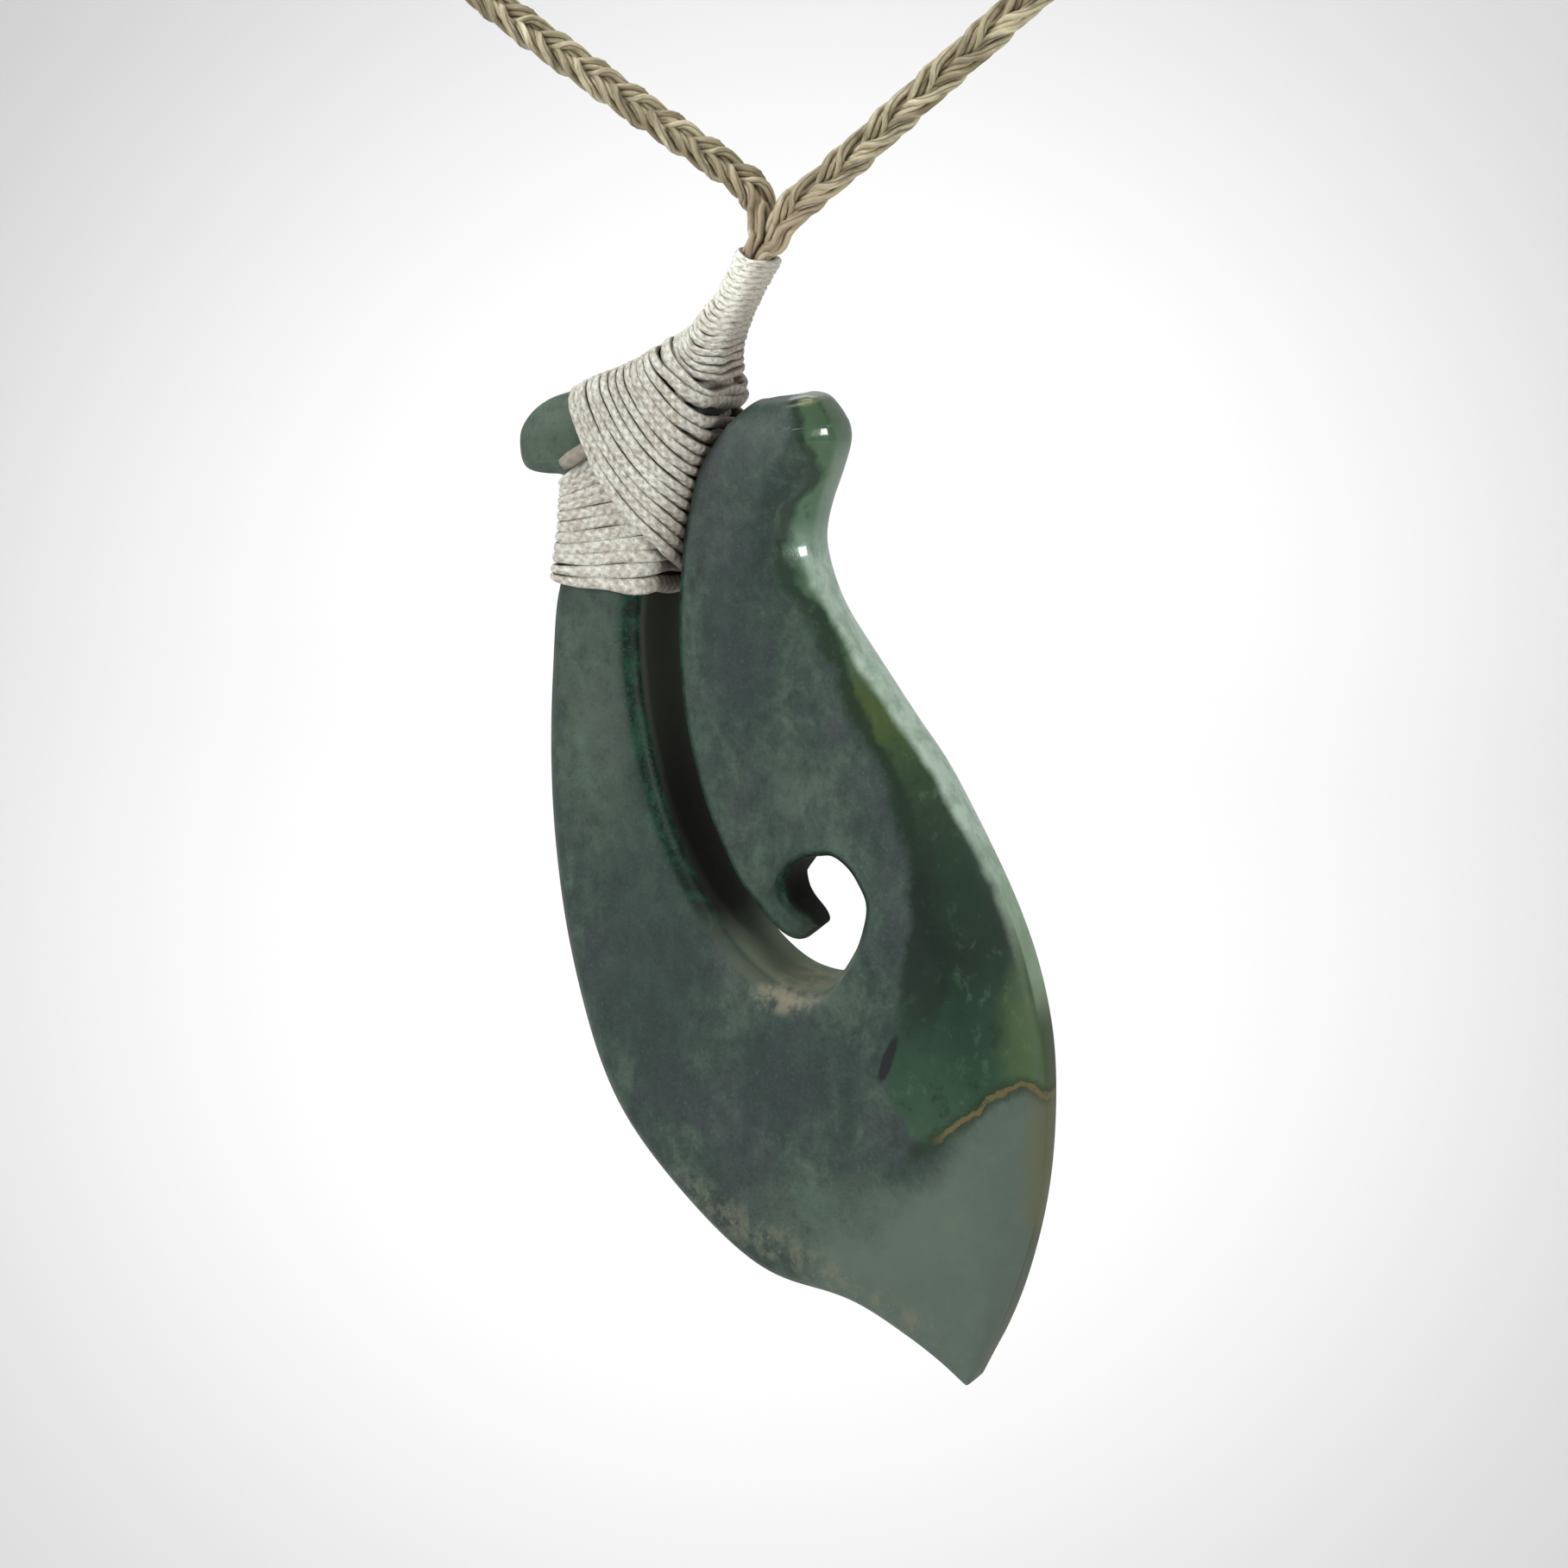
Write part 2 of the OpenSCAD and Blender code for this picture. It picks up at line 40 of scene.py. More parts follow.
hang = Vector((0, -152, -146)) * mm  # where the two cord ends part, above the lashing
noise.seed_set(7)  # noise_vector takes its place from the clock without this


# Camera: places in millimetres from the nape
photo = {"wide": 1817, "focal": 5750}  # in pixels
view = {"from": (206.5, -595.3, -97.9), "to": (-0.2, -152.0, -201.8), "roll": 2.0,
        "focal": photo["focal"] / photo["wide"], "sensor": 36, "near": 0.01, "far": 30}


def aim(obj, place, target, roll=0.0):
    turn = (Vector(target) - Vector(place)).to_track_quat("-Z", "Y") @ Quaternion((0, 0, 1), roll)
    obj.matrix_world = Matrix.Translation(Vector(place) * mm) @ turn.to_matrix().to_4x4()


def placeCamera():
    lens = bpy.data.cameras.new("pendantCamera")
    lens.sensor_width = view["sensor"]
    lens.lens = view["sensor"] * view["focal"]
    lens.clip_start, lens.clip_end = view["near"], view["far"]
    camera = bpy.data.objects.new("pendantCamera", lens)
    world.collection.objects.link(camera)
    aim(camera, view["from"], view["to"], -math.radians(view["roll"]))
    world.camera = camera


def link(name, mesh, *finishes):
    obj = bpy.data.objects.new(name, mesh)
    world.collection.objects.link(obj)
    for finish in finishes:
        mesh.materials.append(finish)
    return obj


def bake(bm, name, *finishes):
    for face in bm.faces:
        face.smooth = True
    mesh = bpy.data.meshes.new(name)
    bm.to_mesh(mesh)
    bm.free()
    return link(name, mesh, *finishes)


# Materials: a socket that can be reckoned with, and a finish that adds its nodes
class Field:
    def __init__(self, finish, socket):
        self.finish, self.socket = finish, socket

    def reckon(self, operation, *values):
        return self.finish.node("ShaderNodeMath", {"operation": operation}, *values)

    def __add__(self, other):
        return self.reckon("ADD", self, other)

    def __radd__(self, other):
        return self.reckon("ADD", other, self)

    def __sub__(self, other):
        return self.reckon("SUBTRACT", self, other)

    def __rsub__(self, other):
        return self.reckon("SUBTRACT", other, self)

    def __mul__(self, other):
        return self.reckon("MULTIPLY", self, other)

    def __rmul__(self, other):
        return self.reckon("MULTIPLY", other, self)

    def __truediv__(self, other):
        return self.reckon("DIVIDE", self, other)

    def __rtruediv__(self, other):
        return self.reckon("DIVIDE", other, self)

    def sine(self):
        return self.reckon("SINE", self)

    def cosine(self):
        return self.reckon("COSINE", self)

    def size(self):
        return self.reckon("ABSOLUTE", self)

    def larger(self, other):
        return self.reckon("MAXIMUM", self, other)

    def band(self, low, high):  # 0 below low, 1 above high, or the other way round
        return self.finish.node("ShaderNodeMapRange", {"interpolation_type": "SMOOTHSTEP"}, self, low, high)


class Finish:
    def __init__(self, name):
        self.material = bpy.data.materials.new(name)
        self.material.use_nodes = True
        self.nodes, self.links = self.material.node_tree.nodes, self.material.node_tree.links
        self.shader = self.nodes["Principled BSDF"]

    # a new node: its settings, its inputs in order and by name, and the output that is read
    def node(self, kind, settings, *values, out=0, **named):
        made = self.nodes.new(kind)
        for key, value in settings.items():
            if key == "stops":
                for n, (place, colour) in enumerate(value):
                    stop = made.color_ramp.elements[n] if n < 2 else made.color_ramp.elements.new(place)
                    stop.position, stop.color = place, colour
            elif key == "points":
                curve = made.mapping.curves[0].points
                for n, place in enumerate(value):
                    (curve[n] if n < 2 else curve.new(*place)).location = place
                made.mapping.update()
            else:
                setattr(made, key, value)
        byName = [(made.inputs[name], value) for name, value in named.items()]
        for socket, value in list(zip(made.inputs, values)) + byName:
            if isinstance(value, Field):
                self.links.new(value.socket, socket)
            elif value is not None:
                socket.default_value = value
        return Field(self, made.outputs[out])

    def place(self):  # millimetres from the parting of the cord ends
        return self.node("ShaderNodeMapping", {}, self.node("ShaderNodeTexCoord", {}, out=3),
                         tuple(-hang * 1000), (0, 0, 0), (1000, 1000, 1000))

    def stretch(self, place, scale, shift=(0, 0, 0)):
        return self.node("ShaderNodeMapping", {}, place, shift, (0, 0, 0), scale)

    def parts(self, vector):
        split = self.node("ShaderNodeSeparateXYZ", {}, vector).socket.node
        return [Field(self, socket) for socket in split.outputs]

    def cloud(self, place, scale, detail, rough=0.55, warp=0.0):
        return self.node("ShaderNodeTexNoise", {}, place, Scale=scale, Detail=detail, Roughness=rough,
                         Distortion=warp)

    def attribute(self, name):
        return self.node("ShaderNodeAttribute", {"attribute_name": name}, out=2)

    def blend(self, share, a, b):
        mixed = self.nodes.new("ShaderNodeMix")
        mixed.data_type = "RGBA"
        for socket, value in ((mixed.inputs[0], share), (mixed.inputs[6], a), (mixed.inputs[7], b)):
            if isinstance(value, Field):
                self.links.new(value.socket, socket)
            else:
                socket.default_value = value
        return Field(self, mixed.outputs[2])

    def follow(self, points, value):  # a smooth curve through points, read at a length in millimetres
        low, high = points[0][0], points[-1][0]
        least, most = min(p[1] for p in points), max(p[1] for p in points)
        shares = [((a - low) / (high - low), (b - least) / (most - least)) for a, b in points]
        curve = self.node("ShaderNodeFloatCurve", {"points": shares}, 1.0, (value - low) / (high - low))
        return curve * (most - least) + least

    def bump(self, height, depth, strength):
        return self.node("ShaderNodeBump", {}, Strength=strength, Distance=depth, Height=height)

    def set(self, **values):
        for name, value in values.items():
            socket = self.shader.inputs[name.replace("_", " ")]
            if isinstance(value, Field):
                self.links.new(value.socket, socket)
            else:
                socket.default_value = value
        return self.material


def tint(red, green, blue):  # a colour as it is read on a screen, 0 to 255
    def linear(value):
        return value / 255 / 12.92 if value < 11 else ((value / 255 + 0.055) / 1.055) ** 2.4

    return linear(red), linear(green), linear(blue), 1.0


# Curves and rows
def mix(a, b, t):
    return a + (b - a) * t


def ease(t):
    t = min(1.0, max(0.0, t))
    return t * t * (3 - 2 * t)


def rowAt(rows, place):  # the same smooth curve through whole rows as the solids have
    i = min(int(place), len(rows) - 2)
    t = place - i
    b, c = rows[i], rows[i + 1]
    a = rows[i - 1] if i else [2 * p - q for p, q in zip(b, c)]
    d = rows[i + 2] if i + 2 < len(rows) else [2 * q - p for p, q in zip(b, c)]

    def smooth(p, q, r, s):
        square, cube = 2 * p - 5 * q + 4 * r - s, 3 * q - p - 3 * r + s
        return 0.5 * (2 * q + (r - p) * t + square * t * t + cube * t ** 3)

    return [smooth(*four) for four in zip(a, b, c, d)]


# Thread: a grid wrapped round the line that it follows, with the cells of a braid where it has them
braid = {"cell": 1.15, "relief": 0.05, "lean": 0.3, "offset": 0.5}


def layThread(bm, line, outs, wides, thick, sides, braided=False, mark=0.0):
    uv = bm.loops.layers.uv.get("UVMap") or bm.loops.layers.uv.new("UVMap")
    count = len(line)
    grid = bmesh.ops.create_grid(bm, x_segments=count - 1, y_segments=sides, size=1, calc_uvs=True)["verts"]
    runs = [0.0]
    for a, b in zip(line, line[1:]):
        runs.append(runs[-1] + (b - a).length * 1000)
    angles = [2 * math.pi * j / sides for j in range(sides + 1)]
    around = [(math.cos(angle), math.sin(angle)) for angle in angles]
    for i in range(count):
        along = (line[min(i + 1, count - 1)] - line[max(i - 1, 0)]).normalized()
        out = (outs[i] - along * outs[i].dot(along)).normalized()
        side = along.cross(out)
        for j, (across, rise) in enumerate(around):
            swell = 1.0
            if braided:
                offset = braid["offset"] if across > 0 else 0.0
                slant = runs[i] / braid["cell"] + braid["lean"] * abs(across) + offset
                swell += braid["relief"] * abs(math.sin(math.pi * across)) * math.sin(2 * math.pi * slant)
            grid[j * count + i].co = line[i] + (side * across * wides[i] + out * rise * thick) * swell / 2
    faces = {face for vert in grid for face in vert.link_faces}
    for face in faces:
        for corner in face.loops:
            corner[uv].uv = (corner[uv].uv.x * runs[-1], corner[uv].uv.y + mark)
    bmesh.ops.remove_doubles(bm, verts=grid[:count] + grid[-count:], dist=join)
    ends = [edge for face in faces if face.is_valid for edge in face.edges if edge.is_boundary]
    bmesh.ops.holes_fill(bm, edges=list(set(ends)), sides=0)


# Stone
# a hold is the bend of an edge in degrees where it starts, the bend where it is full, and its most
stone = {"smoothing": 2, "joinFace": 35, "joinShape": 170, "faceHold": (50, 95, 0.5),
         "backHold": (20, 55, 0.95), "back": 2.0, "rounds": 12, "roundShare": 0.5, "capRightOf": -5.0,
         "capAbove": -19.0, "tipBelow": -112.0, "slotReach": 5.0, "slotFade": 1.6, "edgeHighlightGain": 4}
# the slot's left wall leans in towards the back, between these bounds
taper = {"most": 0.5, "facing": 0.3, "left": -16, "right": -8, "low": -60, "high": -26, "deep": 4,
         "fade": 15}
# middle of the slot, from under the lashing down and round the opening: place across and level
slotLine = [(-13.2, -30), (-13.2, -37.1), (-13.0, -43.3), (-11.9, -51.3), (-9.8, -59.2), (-6.7, -65.3),
            (-2.5, -70.9), (3.0, -74.5), (6.5, -72.0), (7.0, -68.0), (5.0, -65.0), (3.0, -66.5)]
# left bound of the green stone: level and place across
greenEdge = [(-16, 2.6), (-19.9, 4.3), (-23.0, 4.9), (-27.5, 2.3), (-31.3, 1.5), (-33.9, 1.9), (-38.0, 4.3),
             (-43.9, 6.9), (-49.5, 9.6), (-52.4, 11.7), (-58.7, 13.9), (-62.2, 14.9), (-68.9, 15.1),
             (-76.0, 13.8), (-83.3, 12.7), (-90.3, 15.1), (-94.4, 20.4)]
# gold vein over the tail: place across and level
goldVein = [(12.0, -93.0), (16.0, -91.1), (17.9, -89.9), (19.8, -88.3), (21.6, -87.2), (22.9, -85.7),
            (24.1, -85.2), (25.5, -84.7), (26.5, -85.3), (27.6, -87.6)]
# outer bound of the polished slope, beyond which a silvery reflection is painted on the stone: level and
# place across
ridgeLine = [(-30, 3.0), (-34.3, 4.3), (-38.3, 6.6), (-44.2, 10.0), (-49, 13.4), (-54, 16.9), (-57, 18.5),
             (-63.7, 22.1), (-70, 24.5), (-80, 26.8)]
# broad patches of the face: place across, level, half width, half height, strength
dimPatches = [(-13.5, -74, 6, 14, 0.65), (-2.2, -41, 4, 8, 0.5), (3.5, -84, 9, 5, 0.5)]
paleGrounds = [(-18.5, -48, 4, 14, 0.3), (8, -100, 11, 5, 0.45), (-22.5, -21, 4.5, 8, 0.65)]
# patches of the green: place across, level, half width, half height, softness, raggedness, strength, colour
greenPatches = [(16.5, -70.5, 2.8, 8.0, 0.5, 0.5, 0.7, (20, 32, 26)),
                (20.5, -65.0, 3.4, 5.5, 0.6, 0.7, 0.4, (28, 56, 34)),
                (27.0, -79.5, 3.2, 8.0, 0.9, 0.7, 0.4, (100, 122, 74)),
                (10.5, -47.5, 2.6, 3.6, 0.6, 0.9, 0.6, (66, 80, 34))]
darkStreak = {"across": 12.6, "level": -82.1, "lean": 0.37, "narrow": 2.2, "short": 0.16}
leftEdge = {"across": 1.0, "level": -104.2, "fall": 0.516}  # a line along the stone's lower left edge


def stoneFinish():
    f = Finish("greenstone")
    place = f.place()
    x, _, z = f.parts(place)
    tilt, slot, edge = f.attribute("tilt"), f.attribute("slot"), f.attribute("edge")
    wander = f.cloud(place, 0.35, 4.0)
    cloud = f.cloud(f.stretch(place, (1, 1, 0.65)), 0.17, 5.0, 0.6, 0.4)
    haze = f.cloud(f.stretch(place, (1, 1, 0.7), (31, 7, 5)), 0.13, 4.0, 0.6)
    mottle = f.cloud(f.stretch(place, (1, 1, 0.75), (9, 4, 2)), 0.6, 6.0, 0.68, 0.3)
    fleck = f.cloud(place, 2.6, 3.0, 0.7)

    def spot(cx, cz, wide, high, soft, wobble):  # a ragged patch round a place on the face
        fromX = (x - cx) / wide
        fromZ = (z - cz) / high
        reach = (fromX * fromX + fromZ * fromZ) + (wander - 0.5) * (2 * wobble)
        return reach.band(1.0 + soft, 1.0 - soft)

    # broad faces: grey green with bluish and purplish clouds and a fine grain
    grain = f.cloud(place, 4.5, 2.0, 0.6)
    face = f.node("ShaderNodeValToRGB", {"stops": [(0.30, tint(47, 60, 55)), (0.48, tint(57, 71, 64)),
                  (0.62, tint(68, 85, 75)), (0.78, tint(82, 100, 86))]}, mottle)
    face = f.blend(cloud.band(0.54, 0.34) * 0.65, face, tint(44, 56, 55))
    face = f.blend(cloud.band(0.54, 0.70) * 0.6, face, tint(82, 99, 86))
    face = f.blend(haze.band(0.50, 0.64) * 0.42, face, tint(62, 64, 69))
    for cx, cz, wide, high, share in dimPatches:
        face = f.blend(spot(cx, cz, wide, high, 0.9, 0.7) * share, face, tint(44, 57, 54))
    for cx, cz, wide, high, share in paleGrounds:
        face = f.blend(spot(cx, cz, wide, high, 0.9, 0.7) * share, face, tint(88, 105, 88))
    face = f.blend(mottle.band(0.46, 0.30) * 0.4, face, tint(42, 54, 50))
    face = f.blend(fleck.band(0.56, 0.74) * 0.22, face, tint(102, 120, 106))
    face = f.blend(fleck.band(0.46, 0.28) * 0.4, face, tint(32, 44, 41))
    face = f.blend(grain.band(0.40, 0.22) * 0.3, face, tint(38, 50, 46))
    face = f.blend(grain.band(0.62, 0.80) * 0.12, face, tint(92, 108, 96))
    # the tail beyond the vein is paler and plainer
    line = f.follow(goldVein, x) + (f.cloud(place, 1.1, 3.0) - 0.5) * 1.2
    tail = (line - z + (x - 16.0) * 0.35 + (cloud - 0.5) * 12).band(-1.0, 6.0)
    face = f.blend(tail * 0.75, face, tint(94, 108, 96))

    # green stone right of its wandering bound, by level
    level = (z + 95.0 + (cloud - 0.5) * 16) / 80
    green = f.node("ShaderNodeValToRGB", {"stops": [(0.04, tint(54, 78, 58)), (0.14, tint(40, 68, 50)),
                   (0.24, tint(28, 54, 38)), (0.33, tint(20, 32, 25)), (0.41, tint(28, 48, 32)),
                   (0.50, tint(40, 64, 36)), (0.59, tint(56, 78, 36)), (0.69, tint(64, 92, 62)),
                   (0.80, tint(80, 112, 88)), (0.90, tint(74, 106, 76)), (0.98, tint(62, 84, 58))]}, level)
    green = f.blend(mottle.band(0.54, 0.72) * 0.3, green, tint(92, 118, 92))
    green = f.blend(mottle.band(0.46, 0.30) * 0.5, green, tint(20, 38, 24))
    for cx, cz, wide, high, soft, wobble, share, shade in greenPatches:
        green = f.blend(spot(cx, cz, wide, high, soft, wobble) * share, green, tint(*shade))
    beyond = x - f.follow(greenEdge, z) + (wander - 0.5) * 2.2
    dark = ((beyond - 0.3).size() - z.band(-30.0, -40.0) * 0.8).band(0.9, 0.1) * z.band(-64.0, -58.0)
    green = f.blend(dark * 0.9 * mottle.band(0.28, 0.44), green, tint(14, 38, 20))
    field = (beyond + (mottle - 0.5) * 3).band(-0.6, 0.7) * (z - line).band(-0.2, 0.5)
    colour = f.blend(field * 0.95, face, green)

    # painted reflection: the outer wall of the curve is painted silvery, fading to dark olive low down
    shoulder = (x - f.follow(ridgeLine, z) + (wander - 0.5) * 0.8).band(-0.8, 0.1) * z.band(-76.0, -66.0)
    wallReflection = tilt.band(0.66, 0.88).larger(shoulder) * (1 - slot)
    pale = f.blend(mottle.band(0.34, 0.64), tint(146, 168, 150), tint(178, 198, 182))
    pale = f.blend(z.band(-56.0, -74.0) * 0.8, pale, tint(120, 140, 112))
    pale = f.blend(z.band(-74.0, -80.0), pale, tint(64, 74, 52))
    colour = f.blend(wallReflection * z.band(-28.0, -34.0) * 0.9, colour, pale)
    # the slot's rounded rim is emerald; its wall has painted shade, nearly black
    rim = f.blend(mottle.band(0.42, 0.66), tint(13, 30, 23), tint(28, 64, 48))
    rim = f.blend(z.band(-66.0, -75.0) * 0.8, rim, tint(84, 92, 80))
    rim = f.blend(fleck.band(0.54, 0.66) * z.band(-68.0, -60.0) * 0.6, rim, tint(34, 86, 64))
    colour = f.blend(slot * (tilt + (mottle - 0.5) * 0.12).band(0.0, 0.10), colour, rim)
    # painted shade on the slot's wall, darkest in its middle reach, with painted light at the bottom by the
    # opening
    deep = f.blend(z.band(-44.0, -60.0), tint(72, 76, 66), tint(30, 32, 26))
    deep = f.blend(z.band(-68.0, -73.5), deep, tint(98, 110, 92))
    colour = f.blend(slot * tilt.band(0.66, 0.88), colour, deep)
    # tan weathering low on the left edge; a pale tan patch inside the opening
    sloped = (x - leftEdge["across"]) * leftEdge["fall"]
    rimGap = (z - leftEdge["level"] + sloped + (wander - 0.5) * 3.0).size()
    weathered = rimGap.band(3.4, 0.8) * x.band(-15.0, -10.0) * x.band(19.0, 13.0)
    colour = f.blend(weathered * mottle.band(0.44, 0.64) * 0.5, colour, tint(112, 114, 96))
    colour = f.blend(weathered * fleck.band(0.56, 0.72) * 0.35, colour, tint(140, 130, 114))
    # a pale tan patch on the lower rim inside the opening
    openingTan = spot(1.2, -76.6, 4.0, 1.6, 0.8, 1.0) * slot * mottle.band(0.40, 0.64)
    colour = f.blend(openingTan * 0.6, colour, tint(140, 132, 112))
    colour = f.blend(spot(4.7, -16.6, 0.8, 0.4, 0.6, 0.4) * 0.5, colour, tint(130, 130, 92))
    # dark streak, then the vein in its dark bed
    down = z - darkStreak["level"]
    slant = x - darkStreak["across"] - down * darkStreak["lean"]
    reach = slant * slant * darkStreak["narrow"] + down * down * darkStreak["short"]
    streak = (reach + (wander - 0.5) * 1.6).band(1.3, 0.5)
    colour = f.blend(streak * 0.85, colour, tint(24, 22, 31))
    off = (z - line).size()
    bed = off.band(1.5, 0.3) * x.band(13.6, 15.0)
    colour = f.blend(bed * 0.7, colour, tint(30, 48, 26))
    gold = off.band(0.50, 0.20) * x.band(16.4, 19.0) * mottle.band(0.30, 0.46)
    colour = f.blend(gold * 0.85, colour, tint(106, 94, 60))
    brown = spot(28.0, -95.0, 2.6, 10.0, 0.5, 0.8) * (line - z).band(0.0, 0.6)
    colour = f.blend(brown * 0.6, colour, tint(98, 98, 66))
    # painted highlight along the convex edges
    edgeHighlight = edge.band(0.18, 0.6) * (1 - slot * tilt.band(0.5, 0.8))
    colour = f.blend(edgeHighlight * 0.35, colour, tint(142, 158, 142))
    # painted highlight along the ridge of the polished slope
    ridgeHighlight = edgeHighlight * field * z.band(-66.0, -58.0) * z.band(-26.0, -30.0)
    colour = f.blend(ridgeHighlight * 0.7, colour, tint(198, 196, 172))

    polish = field * tilt.band(0.02, 0.12) * z.band(-66.0, -56.0)
    rough = 0.46 + (mottle - 0.5) * 0.2 - polish * 0.28 + slot * tilt.band(0.66, 0.88) * 0.4
    ripple = f.bump(fleck * 0.3 + mottle * 0.7, 0.00008, 0.35)
    return f.set(Base_Color=colour, Roughness=rough, Normal=ripple, Specular_IOR_Level=0.22,
                 Coat_Weight=polish * 0.6, Coat_Roughness=0.05)


def carveStone():
    bm = bmesh.new()
    bm.from_mesh(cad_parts["stone_hook"].data)
    bmesh.ops.remove_doubles(bm, verts=bm.verts, dist=10 * join)
    bmesh.ops.join_triangles(bm, faces=bm.faces, angle_face_threshold=math.radians(stone["joinFace"]),
                             angle_shape_threshold=math.radians(stone["joinShape"]))

    def isCap(vert):  # the rounded top of the point
        x, _, z = (vert.co - hang) * 1000
        return z > stone["capAbove"] and x > stone["capRightOf"]

    hold = bm.edges.layers.float.new("crease_edge")
    for line in bm.edges:
        bend = math.degrees(line.calc_face_angle(0))
        atBack = min((vert.co - hang).y for vert in line.verts) > stone["back"] * mm
        start, full, most = stone["backHold" if atBack else "faceHold"]
        if isCap(line.verts[0]) or isCap(line.verts[1]):
            most = 0
        line[hold] = most * ease((bend - start) / (full - start))
    blank = bake(bm, "stoneBlank")
    soften = blank.modifiers.new("soften", "SUBSURF")
    soften.levels = soften.render_levels = stone["smoothing"]
    mesh = bpy.data.meshes.new_from_object(blank.evaluated_get(bpy.context.evaluated_depsgraph_get()))
    bpy.data.objects.remove(blank)
    mesh.name = "carvedStone"

    bm = bmesh.new()
    bm.from_mesh(mesh)
    cap = [vert for vert in bm.verts if isCap(vert)]
    tip = [vert for vert in bm.verts if (vert.co - hang).z < stone["tipBelow"] * mm]
    for verts in (cap, tip):
        for _ in range(stone["rounds"]):
            bmesh.ops.smooth_vert(bm, verts=verts, factor=stone["roundShare"],
                                  use_axis_x=True, use_axis_y=True, use_axis_z=True)
    bm.normal_update()
    for vert in bm.verts:
        x, y, z = (vert.co - hang) * 1000
        inside = taper["left"] < x < taper["right"] and taper["low"] < z < taper["high"]
        if inside and vert.normal.x > taper["facing"]:
            lean = ease(y / taper["deep"]) * ease((z - taper["low"]) / taper["fade"])
            vert.co.x += taper["most"] * mm * lean
    tilt, slot, edge = (bm.verts.layers.float.new(name) for name in ("tilt", "slot", "edge"))
    for vert in bm.verts:
        x, _, z = (vert.co - hang) * 1000
        vert[tilt] = 1 - abs(vert.normal.y)
        near = min(math.dist((x, z), (mix(a[0], b[0], t), mix(a[1], b[1], t)))
                   for a, b in zip(slotLine, slotLine[1:]) for t in (0, 0.25, 0.5, 0.75, 1))
        vert[slot] = 1 - ease((near - stone["slotReach"]) / stone["slotFade"])
        # the edge attribute measures how sharply the surface bends outward here; it drives a painted
        # highlight
        around = [vert.co - line.other_vert(vert).co for line in vert.link_edges]
        mound = sum(way.normalized().dot(vert.normal) for way in around) / len(around)
        vert[edge] = max(0.0, stone["edgeHighlightGain"] * mound)
    bm.to_mesh(mesh)
    bm.free()
    carved = link("carvedStone", mesh, stoneFinish())
    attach(carved, "root")
    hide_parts("stone_hook")


# Lashing. Rows: left end and right end as shares of the hook, depth share, squareness of the corners
hook = {"wide": 53.7, "high": 101.0, "thick": 10.8, "stemHigh": 16.0, "stemDeep": 3.6}
# thread in millimetres, its roundest corner and its climb as shares
thread = {"thick": 0.8, "gap": 0.1, "step": 0.18, "sides": 12, "narrow": 0.74, "broad": 1.9, "corner": 1.2,
          "roundest": 0.85, "spare": 4, "climb": 0.12, "tuck": 2.4, "sink": 0.6}
# how unevenly it lies: out from the stone, along the rows, in its width, and how fast each changes
uneven = {"out": 0.12, "along": 0.20, "wide": 0.2, "outTurn": 2.3, "outShare": 6, "alongTurn": 1.7,
          "alongShare": 9}
stemRows = [(-0.039, -0.881, 0.008, -0.819, 0.00, 0), (-0.058, -0.750, -0.013, -0.706, 0.00, 0),
            (-0.080, -0.619, -0.038, -0.575, 0.02, 0), (-0.106, -0.512, -0.060, -0.456, 0.12, 0),
            (-0.134, -0.394, -0.080, -0.306, 0.26, 0.1), (-0.151, -0.344, -0.091, -0.175, 0.42, 0.2),
            (-0.162, -0.322, -0.093, -0.080, 0.56, 0.4)]
diagonalRows = [(-0.167, -0.325, -0.095, -0.040, 0.60, 0.4), (-0.184, -0.276, -0.102, -0.020, 0.76, 0.5),
                (-0.203, -0.237, -0.108, 0.016, 0.93, 0.7), (-0.242, -0.162, -0.133, 0.052, 0.99, 0.9),
                (-0.313, -0.075, -0.163, 0.099, 1, 1), (-0.359, 0.002, -0.193, 0.145, 1, 1)]
shankRows = [(-0.392, 0.085, -0.128, -0.020, 1, 1), (-0.394, 0.110, -0.163, 0.077, 1, 1),
             (-0.400, 0.137, -0.197, 0.119, 1, 1), (-0.408, 0.158, -0.214, 0.148, 1, 1),
             (-0.415, 0.176, -0.227, 0.171, 1, 1), (-0.418, 0.187, -0.235, 0.200, 1, 1)]
# for each winding: turns, layers below it, and for its first and last turn how far the middle sags and how
# far the right back corner rises
windings = {"shankTurns": {"turns": 12, "below": 0, "bow": (0.0, 0.2), "rise": (0.5, -1.2), "seed": 1.3},
            "diagonalTurns": {"turns": 14, "below": 1, "bow": (0.1, 1.6), "rise": (1.2, -8.0), "seed": 2.7},
            "stemTurns": {"turns": 19, "below": 1, "bow": (0.2, 0.8), "rise": (0.0, 0.3), "seed": 4.1}}
stub = {"from": (-16.6, -6.3, -20.7), "to": (-20.2, -6.9, -22.9), "wide": 1.6, "thick": 1.1, "mark": 4,
        "steps": 12, "taperFrom": 9, "taper": 0.25}


def levelOf(share):
    return -hook["stemHigh"] * (1 + share) if share < 0 else -hook["stemHigh"] - hook["high"] * share


